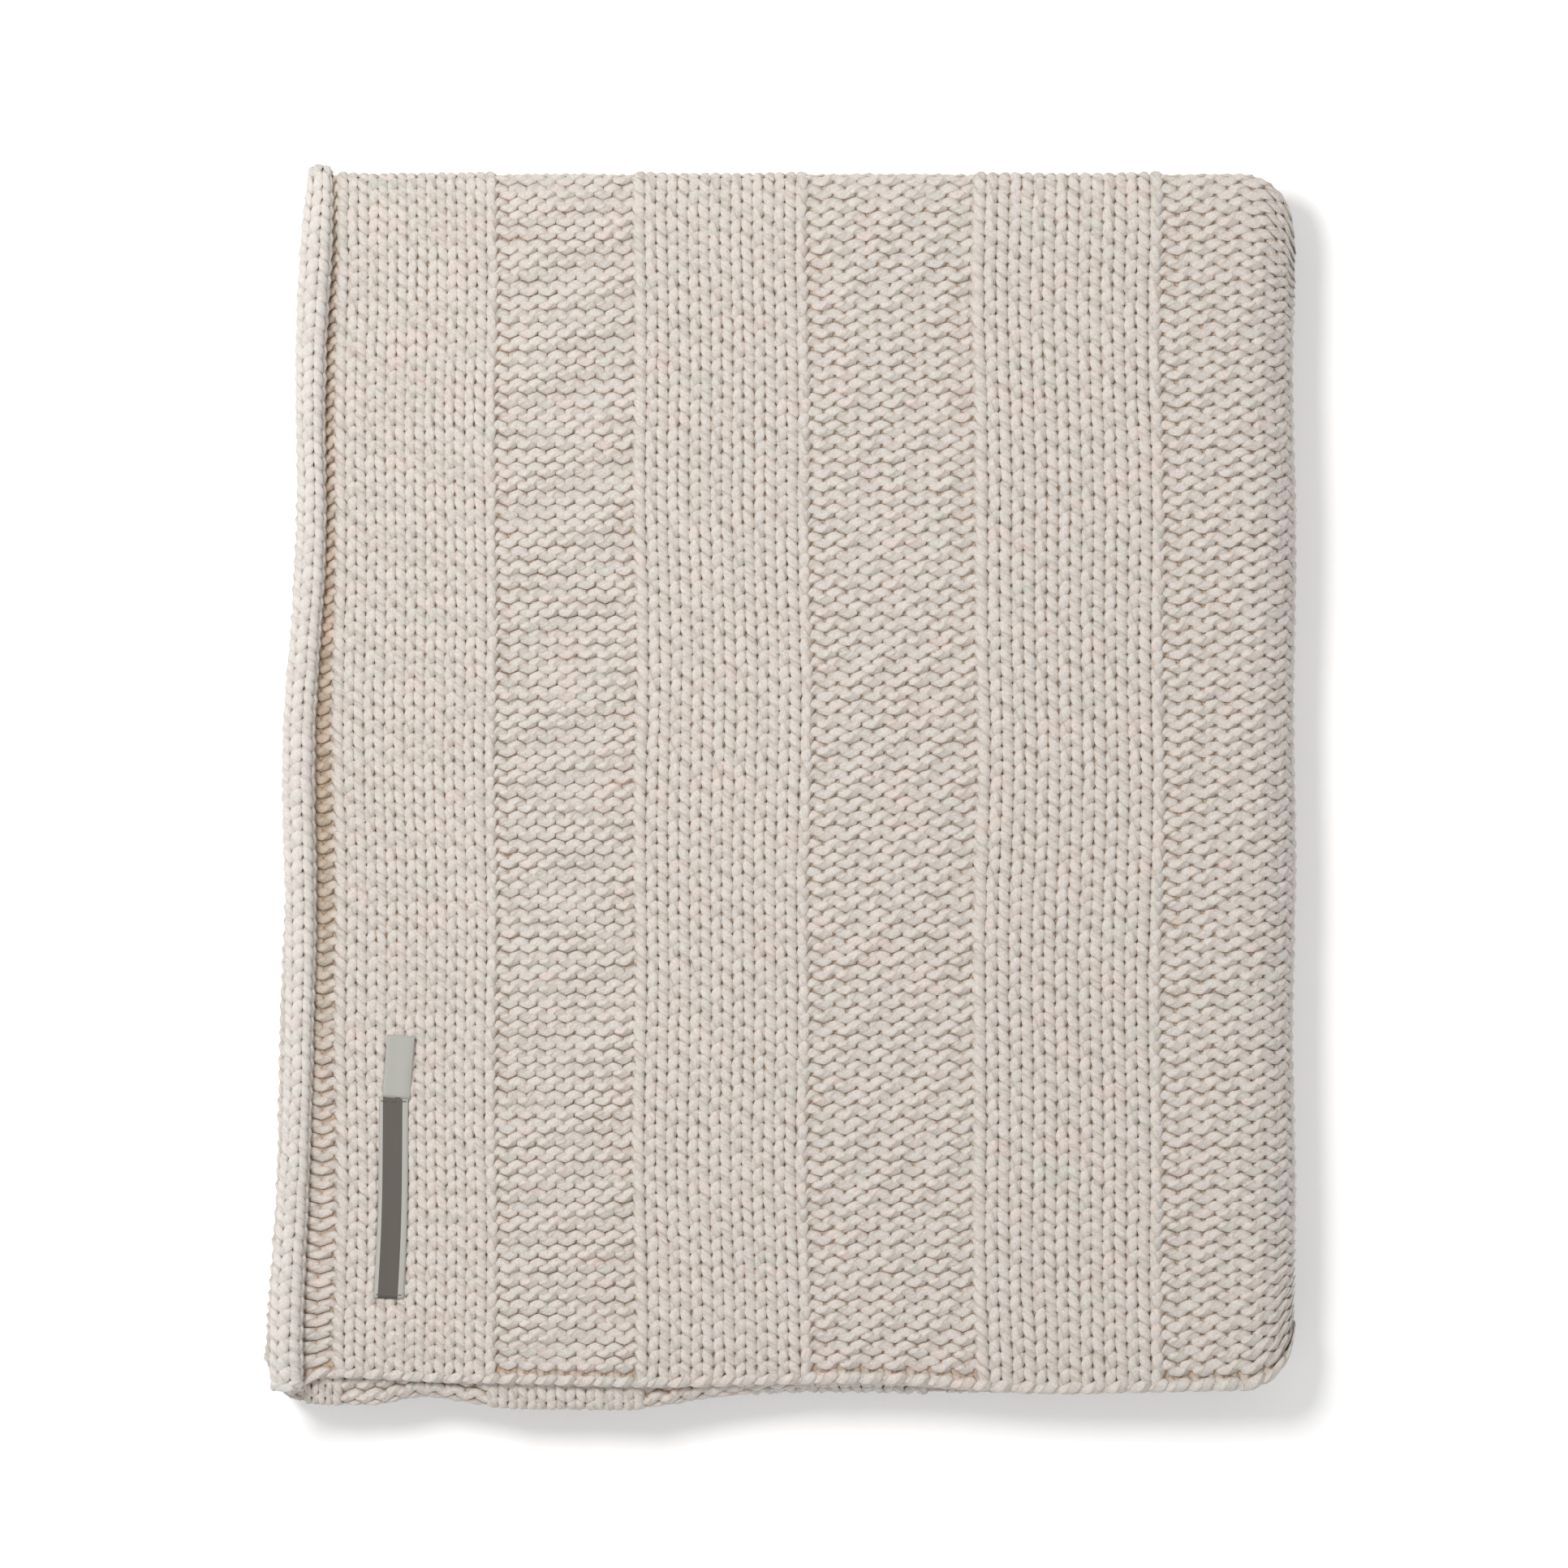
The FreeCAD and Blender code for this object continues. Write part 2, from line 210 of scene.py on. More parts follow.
def fold_lengthwise(run, lift):
    """The Z fold: run and lift to y and the offset from the middle of the three-layer strip."""
    ends = RUN_ENDS
    y = np.zeros_like(run)
    offset = np.zeros_like(run)
    part = np.searchsorted(ends, run.ravel(), side="right").reshape(run.shape)
    outer = part <= 0
    y[outer] = (run - FRONT_EDGE)[outer]
    offset[outer] = (PITCH + lift)[outer]
    back = part == 1
    turn = (run - ends[0]) / TURN_RUN * math.pi
    radius = PITCH / 2 + lift
    y[back] = (TURN_Y + radius * np.sin(turn))[back]
    offset[back] = (PITCH / 2 + radius * np.cos(turn))[back]
    middle = part == 2
    y[middle] = (TURN_Y - (run - ends[1]))[middle]
    offset[middle] = (-lift)[middle]
    front = part == 3
    turn = (run - ends[2]) / TURN_RUN * math.pi
    radius = PITCH / 2 - lift
    y[front] = (-TURN_Y - radius * np.sin(turn))[front]
    offset[front] = (-PITCH / 2 + radius * np.cos(turn))[front]
    inner = part >= 4
    y[inner] = (-TURN_Y + (run - ends[3]))[inner]
    offset[inner] = (-PITCH + lift)[inner]
    return y, offset, part


def fold_across(along, offset):
    """The letter fold: along and offset to x and z."""
    x = np.zeros_like(along)
    z = np.zeros_like(along)
    part = np.searchsorted(SECTION_ENDS, along.ravel(), side="right").reshape(along.shape)
    cover = part == 0
    x[cover] = (RIB_LEFT_X + along)[cover]
    z[cover] = (2 * RIGHT_AXIS_Z - BASE_MID_Z + offset)[cover]
    right = part == 1
    turn = (along - COVER_END) / (RIGHT_RADIUS + PITCH)
    radius = RIGHT_RADIUS + offset
    x[right] = (RIGHT_X + radius * np.sin(turn))[right]
    z[right] = (RIGHT_AXIS_Z + radius * np.cos(turn))[right]
    base = part == 2
    x[base] = (RIGHT_X - (along - TURN_END))[base]
    z[base] = (BASE_MID_Z - offset)[base]
    left = part == 3
    turn = (along - BASE_END) / (LEFT_RADIUS + PITCH)
    radius = LEFT_RADIUS + offset
    x[left] = (LEFT_X - radius * np.sin(turn))[left]
    z[left] = (LEFT_AXIS_Z - radius * np.cos(turn))[left]
    tucked = part >= 4
    x[tucked] = (LEFT_X + (along - LEFT_END))[tucked]
    z[tucked] = (2 * LEFT_AXIS_Z - BASE_MID_Z + offset)[tucked]
    return x, z, part


def curl_selvedge(along, run, lift):
    """The cover's free edge: it leans on every layer, and on the outer one it curls up and over."""
    y = np.clip(run - FRONT_EDGE, -HALF, HALF)
    lean = (RIB_LEFT_X - roll_centre(y)) / FLAT_SELVEDGE
    turn_middle = RUN_ENDS[0] + TURN_RUN / 2
    inwards = smooth(run, turn_middle + LOOP_HALF_HEIGHT, RUN_ENDS[1] + LOOP_HALF_HEIGHT)
    inner_lean, back_drop, tightening, unevenness = 0.25, 0.45, 0.10, 0.10
    flat = lean * (1 - inwards) + (1 - inner_lean * y / HALF) * inwards
    round_by = np.maximum(-along - FLAT_SELVEDGE, 0) / ROLL_RADIUS
    ease = 1 - back_drop * smooth(y, HALF - 0.035, HALF)
    size = 1 - tightening * smooth(round_by, math.pi, 1.7 * math.pi)
    size = ROLL_RADIUS * size * (1 + unevenness * np.cos(2.2 * math.pi * y / HALF))
    radius = size * (0.5 + 0.5 * ease) - lift
    height = size * ease - radius * np.cos(round_by) * ease
    curled_along = -FLAT_SELVEDGE * flat - radius * np.sin(round_by)
    curled = (1 - inwards) * (along < -FLAT_SELVEDGE)
    flat_along = np.where(along < 0, along * flat, along)
    return flat_along * (1 - curled) + curled_along * curled, lift * (1 - curled) + height * curled


def lean_lower_left(x, y, section):
    """X of the lower layers' left side, which leans as the roll above it does."""
    lower_left = smooth(-x, 0.150, 0.195) * (section >= 2)
    front_lean, back_lean = 0.0090, 0.0068
    return x + lower_left * np.where(y < 0, front_lean, back_lean) * (y / HALF)


def round_right_corners(x, y):
    """Y of the right side, whose two corners are drawn in."""
    corner = 0.0240
    out = np.clip((x - (RIGHT_X + RIGHT_RADIUS + 1.5 * PITCH - corner)) / corner, 0, 0.999)
    pull = corner * (1 - np.sqrt(1 - out ** 2))
    return y - np.sign(y) * pull * smooth(np.abs(y), HALF - 0.075, HALF)


def wave_front_edge(x, y, z, layer, section):
    """Y of the front edge, which waves on each layer, with the lower left corner drawn in."""
    near_front = smooth(-y, HALF - 0.050, HALF - 0.004)
    at_left, at_right = smooth(-x, 0.130, 0.170), smooth(x, 0.100, 0.185)
    of_layer = np.where(layer == 0, front_wave(x), -lower_front_bulge(x))
    of_lower_sections = at_right * of_layer - at_left * lower_front_bulge(x)
    y = y + near_front * np.where(section <= 1, of_layer, of_lower_sections)
    corner_start, corner_reach, corner_pull, below_cover = 0.2050, 0.0110, 0.0085, 0.036
    left_out = np.clip((-x - corner_start) / corner_reach, 0, 0.999)
    return y + near_front * corner_pull * (1 - np.sqrt(1 - left_out ** 2)) * (z < below_cover)


def billow(x, y, z):
    """X and z with the slight waves of cloth that lies loose, and edges that droop."""
    sway, small_sway = 0.0009, 0.0005
    x = x + sway * np.sin(y * 19.0 + 0.8) * np.sin(x * 9.0 + 1.0) + small_sway * np.sin(y * 47.0 + x * 15.0)
    swell, small_swell = 0.0011, 0.0006
    wave = swell * np.sin(x * 23.0 + 0.5) * np.sin(y * 17.0 + 2.0)
    wave = wave + small_swell * np.sin(x * 51.0 + y * 29.0)
    edge_droop, back_droop = 0.0034, 0.0014
    droop = edge_droop * smooth(np.abs(y), HALF - 0.026, HALF + 0.002)
    droop = droop + back_droop * smooth(y, HALF - 0.030, HALF)
    return x, z + z / COVER_TOP * (wave - droop)


def press_flat(z):
    """Z with the underside pressed flat on the floor."""
    pressed = SOLE * (1 - np.tanh((SOLE - z) / SOLE))
    return np.where(z < SOLE, pressed, z)


def settle(x, y, z, layer, section):
    """The unevenness of soft cloth: leaning edges, a low crown, rounded corners and a wavy front."""
    x = lean_lower_left(x, y, section)
    y = round_right_corners(x, y)
    y = wave_front_edge(x, y, z, layer, section)
    x, z = billow(x, y, z)
    return x, y, press_flat(z)


def fold(along, run, lift):
    """Fabric coordinates to the row frame."""
    ease, thinning = 0.008, 0.25
    turn_starts = smooth(run, RUN_ENDS[0] - ease, RUN_ENDS[0])
    turn_ends = smooth(run, RUN_ENDS[1], RUN_ENDS[1] + ease)
    round_back = turn_starts * (1 - turn_ends)
    along, lift = curl_selvedge(along, run, lift * (1 - thinning * round_back))
    y, offset, layer = fold_lengthwise(run, lift)
    x, z, section = fold_across(along, offset)
    return np.stack(settle(x, y, z, layer, section), axis=-1)


# ---------------------------------------------------------------------------------------------
# Yarn
# ---------------------------------------------------------------------------------------------
STITCHES = (ROWS, WALES + 2)                 # shape of a table with one value for each stitch
SHAKE_ALONG = random.normal(0, 0.00015, STITCHES)
SHAKE_RUN = random.normal(0, 0.00014, STITCHES)
SHAKE_LIFT = random.normal(0, 0.00010, STITCHES)
PLUMPNESS = random.normal(1, 0.035, STITCHES)
TINT = random.normal(0, 1, STITCHES)


def between(table, rows, count):
    """A per-stitch table read along the yarn, easing from one wale to the next."""
    place = np.clip(count, 0, WALES - 0.001)
    whole = np.floor(place).astype(int)
    share = place - whole
    ease = share * share * (3 - 2 * share)
    picked = table[rows]
    return picked[:, whole] * (1 - ease) + picked[:, whole + 1] * ease


def along_the_wales(count):
    """Length along the panel at wale numbers count, before the loops swing sideways."""
    first_legs = np.arange(WALES) + LEG
    knots = np.stack([first_legs, first_legs + 2 * LEG], 1).ravel()
    legs = np.stack([CENTRES - WIDTHS * LEG, CENTRES + WIDTHS * LEG], 1).ravel()
    along = np.interp(count, knots, legs)
    return along + np.where(count < knots[0], (count - knots[0]) * WIDTHS[0], 0)


def yarn_centre(rows, count):
    """Centre line of each row's yarn in fabric coordinates, at wale numbers count."""
    wale = np.clip(np.floor(count).astype(int), 0, WALES - 1)
    nearest = np.round(count)
    before = np.clip(nearest - 1, 0, WALES - 1).astype(int)
    after = np.clip(nearest, 0, WALES - 1).astype(int)
    step = smooth(count - nearest, -LEG, LEG)
    face = FACES[before] * (1 - step) + FACES[after] * step
    changes = (FACES[before] != FACES[after]) & (np.abs(count - nearest) < LEG)
    bulge = np.where(FACES[wale] > 0, KNIT_BULGE, PURL_BULGE) * WIDTHS[wale]
    turn = 2 * math.pi * count
    along = along_the_wales(count) + bulge * np.where(changes, CHANGE_BULGE, 1) * np.sin(2 * turn)
    in_band = np.abs(((count - SELVEDGE) % BAND) / BAND - 0.5) * 2
    lift = -face * RELIEF * np.cos(2 * turn) + BAND_EDGE_LIFT * face * in_band ** 3
    half_height = LOOP_HALF_HEIGHT + (PURL_HALF_HEIGHT - LOOP_HALF_HEIGHT) * (1 - face) / 2
    run = (rows[:, None] + FIRST_ROW) * ROW - (half_height * np.cos(turn))[None, :]
    along = along[None, :] + between(SHAKE_ALONG, rows, count)
    run = run + between(SHAKE_RUN, rows, count)
    lift = lift[None, :] + between(SHAKE_LIFT, rows, count)
    return np.stack([along, run, lift], axis=-1)


def carried_sides(centre):
    """Two vectors across each line at each point, carried along it without twisting."""
    tangent = np.gradient(centre, axis=1)
    tangent /= np.linalg.norm(tangent, axis=2, keepdims=True)
    side = np.zeros_like(centre)
    first = np.cross(tangent[:, 0], [0.3, 0.1, 1.0])
    side[:, 0] = first / np.linalg.norm(first, axis=1, keepdims=True)
    for i in range(1, centre.shape[1]):
        t = tangent[:, i]
        kept = side[:, i - 1] - np.sum(side[:, i - 1] * t, axis=1, keepdims=True) * t
        side[:, i] = kept / np.linalg.norm(kept, axis=1, keepdims=True)
    return side, np.cross(tangent, side)


def ring_angles(sides):
    """Angles of the points of a ring."""
    return np.arange(sides) * 2 * math.pi / sides


def rings_round(centre, radius, sides, flatten=1.0):
    """Rings of points round centre lines, with a radius for each line, ring and side."""
    side, up = carried_sides(centre)
    angle = ring_angles(sides)
    ring = np.cos(angle)[:, None] * side[:, :, None] + np.sin(angle)[:, None] * up[:, :, None]
    ring = ring * radius[..., None]
    ring[..., 2] *= flatten
    return centre[:, :, None, :] + ring


def lengths_along(centre):
    """Length along each line up to each of its points."""
    steps = np.linalg.norm(np.diff(centre, axis=1), axis=2)
    return np.concatenate([np.zeros((len(centre), 1)), np.cumsum(steps, axis=1)], axis=1)


def yarn_tubes(rows, first, last, segments, sides):
    """Rings of points round the yarn of these rows from wale number first to last, unfolded, with
    the length along the yarn and each stitch's tint."""
    count = np.linspace(first, last, int(round((last - first) * segments)) + 1)
    centre = yarn_centre(rows, count)
    length = lengths_along(centre) + random.uniform(0, 1, (len(rows), 1))
    twist = ring_angles(sides) + 2 * math.pi * length[:, :, None] / PLY_TURN
    ply = 1 + PLY_DEPTH * np.cos(2 * twist)
    fullness = np.interp(count, WALE_MIDDLES, FULLNESS)
    radius = YARN_SHARE * fullness[None, :, None] * between(PLUMPNESS, rows, count)[:, :, None] * ply
    return rings_round(centre, radius, sides, FLATTEN), length, between(TINT, rows, count)


def mesh_object(name, points, faces, material, smooth_shading=True):
    """A mesh object from arrays of points and four-cornered faces."""
    mesh = bpy.data.meshes.new(name)
    mesh.vertices.add(len(points))
    mesh.vertices.foreach_set("co", np.ascontiguousarray(points, np.float32).ravel())
    mesh.loops.add(faces.size)
    mesh.loops.foreach_set("vertex_index", np.ascontiguousarray(faces, np.int32).ravel())
    mesh.polygons.add(len(faces))
    mesh.polygons.foreach_set("loop_start", np.arange(len(faces), dtype=np.int32) * faces.shape[1])
    mesh.update(calc_edges=True)
    mesh.polygons.foreach_set("use_smooth", np.full(len(faces), smooth_shading))
    mesh.materials.append(material)
    made = bpy.data.objects.new(name, mesh)
    bpy.context.scene.collection.objects.link(made)
    return made


def grid_faces(index):
    """Faces between the points of a grid."""
    corners = [index[:-1, :-1], index[:-1, 1:], index[1:, 1:], index[1:, :-1]]
    return np.stack(corners, axis=-1).reshape(-1, 4)


def ring_corners(here, beside):
    """The four corners of each face between neighbouring rings, from values at its two long sides."""
    return np.stack([here[:, :-1], here[:, 1:], beside[:, 1:], beside[:, :-1]], axis=-1)


def set_attribute(made, name, values):
    """Gives each point of a mesh one number that a material can read."""
    attribute = made.data.attributes.new(name, "FLOAT", "POINT")
    attribute.data.foreach_set("value", np.ascontiguousarray(values, np.float32).ravel())


def paint_selvedge_light_and_shade(made, outwards, run):
    """Marks the curled roll, for painted light, and the groove between it and the cover, for painted shade,
    on the outer layer.
    """
    outer_layer = 1 - smooth(run, RUN_ENDS[0], RUN_ENDS[1])
    roll = smooth(outwards, FLAT_SELVEDGE - 0.001, FLAT_SELVEDGE + 0.006)
    before_roll = 1 - smooth(outwards, FLAT_SELVEDGE - 0.002, FLAT_SELVEDGE + 0.001)
    groove = smooth(outwards, 0.0, 0.003) * before_roll * smooth(run - FRONT_EDGE, -0.21, 0.02)
    set_attribute(made, "roll", roll * outer_layer)
    set_attribute(made, "groove", groove * outer_layer)


def tube_object(name, unfolded, length, tint, material, shaded=True):
    """One mesh of yarn tubes from rings of points in fabric coordinates; painted shade darkens it where it
    lies deep.
    """
    shape = unfolded.shape[:3]
    sides = shape[-1]
    points = fold(unfolded[..., 0], unfolded[..., 1], unfolded[..., 2])
    index = np.arange(math.prod(shape)).reshape(shape)
    faces = ring_corners(index, np.roll(index, -1, axis=2)).reshape(-1, 4)
    made = mesh_object(name, points.reshape(-1, 3), faces, material)
    turns = np.broadcast_to(length[:, :, None] / PLY_TURN, shape)
    around = np.broadcast_to(np.arange(sides) / sides, shape)
    corners = np.stack([ring_corners(turns, turns), ring_corners(around, around + 1 / sides)], axis=-1)
    made.data.uv_layers.new(name="yarn").data.foreach_set("uv", corners.astype(np.float32).ravel())
    painted_shade_depth = np.abs(unfolded[..., 2]) / CREST if shaded else np.ones(shape)
    set_attribute(made, "tint", np.broadcast_to(tint[:, :, None], shape))
    set_attribute(made, "painted_shade_depth", painted_shade_depth)
    paint_selvedge_light_and_shade(made, -unfolded[..., 0], unfolded[..., 1])
    return made


# ---------------------------------------------------------------------------------------------
# Materials
# ---------------------------------------------------------------------------------------------
WHITE = (1.0, 1.0, 1.0)
CREAMS = [(0.10, (0.755, 0.738, 0.680)), (0.36, (0.786, 0.742, 0.695)),
          (0.60, (0.806, 0.742, 0.695)), (0.90, (0.831, 0.721, 0.674))]
WOOL_GRAIN = [(0.34, (0.84, 0.83, 0.81)), (0.60, WHITE)]
# painted shade: warm brown darkening where the yarn lies deep between stitches
PAINTED_SHADE_BETWEEN_STITCHES = [(0.05, (0.62, 0.46, 0.31)), (0.62, WHITE)]
# painted shade: darker yarn in the grooves between the two plies
PAINTED_SHADE_BETWEEN_PLIES = [(0.0, (0.80, 0.76, 0.70)), (0.6, WHITE)]
FLECKS = [(0.30, (0.80, 0.78, 0.76)), (0.68, WHITE)]
# painted light: paler yarn on the curled roll, which faces the lamp
# painted shade: darker, browner yarn in the groove that the roll shades
PAINTED_SHADE_GROOVE_COLOUR, PAINTED_LIGHT_ROLL_COLOUR = (0.74, 0.62, 0.48), (0.82, 0.80, 0.77)
# painted shade: warm brown of the cloth's inside, seen through the gaps
PAINTED_SHADE_INSIDE = [(0.3, (0.50, 0.38, 0.27)), (0.7, (0.60, 0.47, 0.35))]
PALE, TAUPE, SATIN = (0.47, 0.46, 0.42), (0.105, 0.090, 0.078), (0.42, 0.42, 0.385)


def node_material(name, roughness):
    """A material with its node tree and its shader."""
    material = bpy.data.materials.new(name)
    material.use_nodes = True
    shader = material.node_tree.nodes["Principled BSDF"]
    shader.inputs["Roughness"].default_value = roughness
    return material, material.node_tree, shader


def math_node(tree, operation, *values):
    """The result of a sum on numbers or sockets."""
    node = tree.nodes.new("ShaderNodeMath")
    node.operation = operation
    for socket, value in zip(node.inputs, values):
        if isinstance(value, (int, float)):
            socket.default_value = value
        else:
            tree.links.new(value, socket)
    return node.outputs[0]


def noise(tree, place, scale, detail=2.0, roughness=0.5):
    """Noise read at a place."""
    node = tree.nodes.new("ShaderNodeTexNoise")
    node.inputs["Scale"].default_value = scale
    node.inputs["Detail"].default_value = detail
    node.inputs["Roughness"].default_value = roughness
    tree.links.new(place, node.inputs["Vector"])
    return node.outputs[0]


def object_place(tree):
    """Each point's place in the object's own frame."""
    return tree.nodes.new("ShaderNodeTexCoord").outputs["Object"]


def colour_ramp(tree, factor, stops, steps="LINEAR"):
    """Colours at places from 0 to 1, read at a factor."""
    node = tree.nodes.new("ShaderNodeValToRGB")
    node.color_ramp.interpolation = steps
    while len(node.color_ramp.elements) < len(stops):
        node.color_ramp.elements.new(0.5)
    for element, (place, colour) in zip(node.color_ramp.elements, stops):
        element.position = place
        element.color = (*colour, 1)
    tree.links.new(factor, node.inputs[0])
    return node.outputs[0]


def attribute_value(tree, name):
    """A number that set_attribute() gave to the mesh."""
    node = tree.nodes.new("ShaderNodeAttribute")
    node.attribute_name = name
    return node.outputs["Fac"]


def mix_colours(tree, factor, first, second, blend="MULTIPLY"):
    """The second colour mixed over the first."""
    node = tree.nodes.new("ShaderNodeMix")
    node.data_type = "RGBA"
    node.blend_type = blend
    for socket, value in ((node.inputs[0], factor), (node.inputs[6], first), (node.inputs[7], second)):
        if isinstance(value, (int, float)):
            socket.default_value = value
        elif isinstance(value, tuple):
            socket.default_value = (*value, 1)
        else:
            tree.links.new(value, socket)
    return node.outputs[2]


def bump_surface(tree, shader, height, strength, distance):
    """Gives the shader a bump from a height."""
    bump = tree.nodes.new("ShaderNodeBump")
    bump.inputs["Strength"].default_value = strength
    bump.inputs["Distance"].default_value = distance
    tree.links.new(height, bump.inputs["Height"])
    tree.links.new(bump.outputs[0], shader.inputs["Normal"])


def yarn_patterns(tree):
    """The crests of the two plies, and the fibre that runs along them."""
    uv = tree.nodes.new("ShaderNodeUVMap")
    uv.uv_map = "yarn"
    split = tree.nodes.new("ShaderNodeSeparateXYZ")
    tree.links.new(uv.outputs[0], split.inputs[0])
    turns, around = split.outputs[0], split.outputs[1]
    lay = math_node(tree, "ADD", turns, around)
    wave = math_node(tree, "COSINE", math_node(tree, "MULTIPLY", lay, 4 * math.pi))
    crest = math_node(tree, "POWER", math_node(tree, "MULTIPLY_ADD", wave, 0.5, 0.5), 0.45)
    fibre_place = tree.nodes.new("ShaderNodeCombineXYZ")
    tree.links.new(math_node(tree, "MULTIPLY", lay, 22.0), fibre_place.inputs[0])
    tree.links.new(math_node(tree, "MULTIPLY", turns, 5.0), fibre_place.inputs[1])
    return crest, noise(tree, fibre_place.outputs[0], 1.0, detail=3.0)


def yarn_colour(tree, crest, fibre, wool, patch):
    """Cream with a tint for each stitch and patch, with painted shade where the yarn lies deep, between its
    plies and in the groove beside the roll, and painted light on the roll.
    """
    tint = math_node(tree, "MULTIPLY_ADD", attribute_value(tree, "tint"), 0.13, patch)
    colour = colour_ramp(tree, tint, CREAMS)
    # painted shade: the depth ramp darkens deep-lying yarn, and the ply ramp darkens it between the plies
    for strength, factor, stops in ((1.0, wool, WOOL_GRAIN),
                                    (0.75, attribute_value(tree, "painted_shade_depth"), PAINTED_SHADE_BETWEEN_STITCHES),
                                    (0.8, crest, PAINTED_SHADE_BETWEEN_PLIES),
                                    (0.85, fibre, FLECKS)):
        colour = mix_colours(tree, strength, colour, colour_ramp(tree, factor, stops))
    # painted shade in the groove beside the roll
    painted_shade_in_groove = math_node(tree, "MULTIPLY", attribute_value(tree, "groove"), 0.85)
    colour = mix_colours(tree, painted_shade_in_groove, colour, PAINTED_SHADE_GROOVE_COLOUR)
    # painted light on the roll
    painted_light_on_roll = math_node(tree, "MULTIPLY", attribute_value(tree, "roll"), 0.30)
    return mix_colours(tree, painted_light_on_roll, colour, PAINTED_LIGHT_ROLL_COLOUR, "MIX")


def yarn_material():
    """Cream two-ply yarn: stitch-to-stitch tint, painted warm shade in its depths and between its plies,
    ply grooves, wool grain and fibre, painted shade in the groove beside the roll and painted light on the
    roll.
    """
    material, tree, shader = node_material("cream_yarn", 0.85)
    crest, fibre = yarn_patterns(tree)
    place = object_place(tree)
    wool = noise(tree, place, 1000.0, detail=3.0, roughness=0.7)
    colour = yarn_colour(tree, crest, fibre, wool, noise(tree, place, 330.0))
    tree.links.new(colour, shader.inputs["Base Color"])
    tree.links.new(math_node(tree, "MULTIPLY_ADD", fibre, 0.2, 0.72), shader.inputs["Roughness"])
    height = math_node(tree, "MULTIPLY_ADD", fibre, 0.45, crest)
    height = math_node(tree, "ADD", height, math_node(tree, "MULTIPLY", wool, 0.5))
    bump_surface(tree, shader, height, strength=0.75, distance=0.0008)
    shader.inputs["Sheen Weight"].default_value = 0.25
    shader.inputs["Sheen Roughness"].default_value = 0.6
    shader.inputs["Specular IOR Level"].default_value = 0.25
    return material


def painted_shade_ground_material():
    """Painted shade: the inside of the cloth as a warm brown sheet, seen only through gaps between
    stitches.
    """
    material, tree, shader = node_material("cloth_ground_painted_shade", 0.95)
    colour = colour_ramp(tree, noise(tree, object_place(tree), 260.0), PAINTED_SHADE_INSIDE)
    tree.links.new(colour, shader.inputs["Base Color"])
    return material


def ribbon_material(name, stops, roughness, wefts):
    """Woven ribbon: plain stripes along its length under a fine cross weave."""
    material, tree, shader = node_material(name, roughness)
    warps = 24
    across, along = attribute_value(tree, "across"), attribute_value(tree, "along")
    stripes = colour_ramp(tree, across, stops, "CONSTANT")
    weft = math_node(tree, "SINE", math_node(tree, "MULTIPLY", along, wefts * 2 * math.pi))
    warp = math_node(tree, "SINE", math_node(tree, "MULTIPLY", across, warps * 2 * math.pi))
    weave = math_node(tree, "MULTIPLY", weft, warp)
    grain = colour_ramp(tree, math_node(tree, "MULTIPLY_ADD", weave, 0.5, 0.5),
                        [(0.0, (0.86, 0.86, 0.86)), (0.5, WHITE)])
    tree.links.new(mix_colours(tree, 0.8, stripes, grain), shader.inputs["Base Color"])
    bump_surface(tree, shader, weave, strength=0.3, distance=0.0002)
    return material


def thread_material():
    """Dark sewing thread."""
    material, tree, shader = node_material("sewing_thread", 0.6)
    shader.inputs["Base Color"].default_value = (0.16, 0.14, 0.12, 1)
    return material


YARN = yarn_material()
PAINTED_SHADE_GROUND = painted_shade_ground_material()

# ---------------------------------------------------------------------------------------------
# Pieces of the knitted panel
# ---------------------------------------------------------------------------------------------
def rows_between(low, high):
    """The rows whose middle lies between two lengths along the run."""
    middles = (np.arange(ROWS) + FIRST_ROW) * ROW
    return np.nonzero((middles >= low) & (middles < high))[0]


EDGE_ROWS = 5 * ROW                          # what a rim takes of the flat layers beside its turn
OUTER_ROWS = rows_between(0, RUN_ENDS[0] + TURN_RUN / 2)
BACK_RIM_ROWS = rows_between(RUN_ENDS[0] + TURN_RUN / 2, RUN_ENDS[1] + EDGE_ROWS)
FRONT_RIM_ROWS = rows_between(RUN_ENDS[2] - EDGE_ROWS, RUN_ENDS[3] + EDGE_ROWS)
LAST_ROWS = rows_between(RUN_ENDS[4] - EDGE_ROWS, RUN_ENDS[4])
INNER_ROWS = rows_between(RUN_ENDS[3] + EDGE_ROWS, RUN_ENDS[4])
MIDDLE_ROWS = rows_between(RUN_ENDS[1] + EDGE_ROWS, RUN_ENDS[2] - EDGE_ROWS)
INNER_EDGE = SELVEDGE - 2.5                  # wale at which the cover's two inner layers show their edge
SIDE_WALES = 2.0                             # wales that a side rim takes
W_COVER, W_TURN, W_BASE, W_LEFT, W_TUCKED = [float(wale_at(end)) for end in SECTION_ENDS]
FINE = (12, 8)                               # segments to a wale, and sides of the yarn
COARSE = (8, 6)
OUTER_BEND = (1, 8)                          # heights, in layers, given for the turn's pieces; only whether one is given is read
BACK_BEND = (1.5, 7.5)
INNER_BEND = (2.5, 6.5)


def hold(made, body, bend=None):
    """Gives a piece its body, or, where a bend is given for a piece on the turn, bakes its place into its
    mesh and leaves it with no body.
    """
    if bend is None:
        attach(made, body)
    else:
        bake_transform(made)
    return made


def knit(name, rows, first, last, detail, body, bend=None):
    """A patch of knitting from these rows and wales that rides on a body, or, on the turn, is left with no
    body.
    """
    unfolded, length, tint = yarn_tubes(rows, first, last, *detail)
    return hold(tube_object(name, unfolded, length, tint, YARN), body, bend)


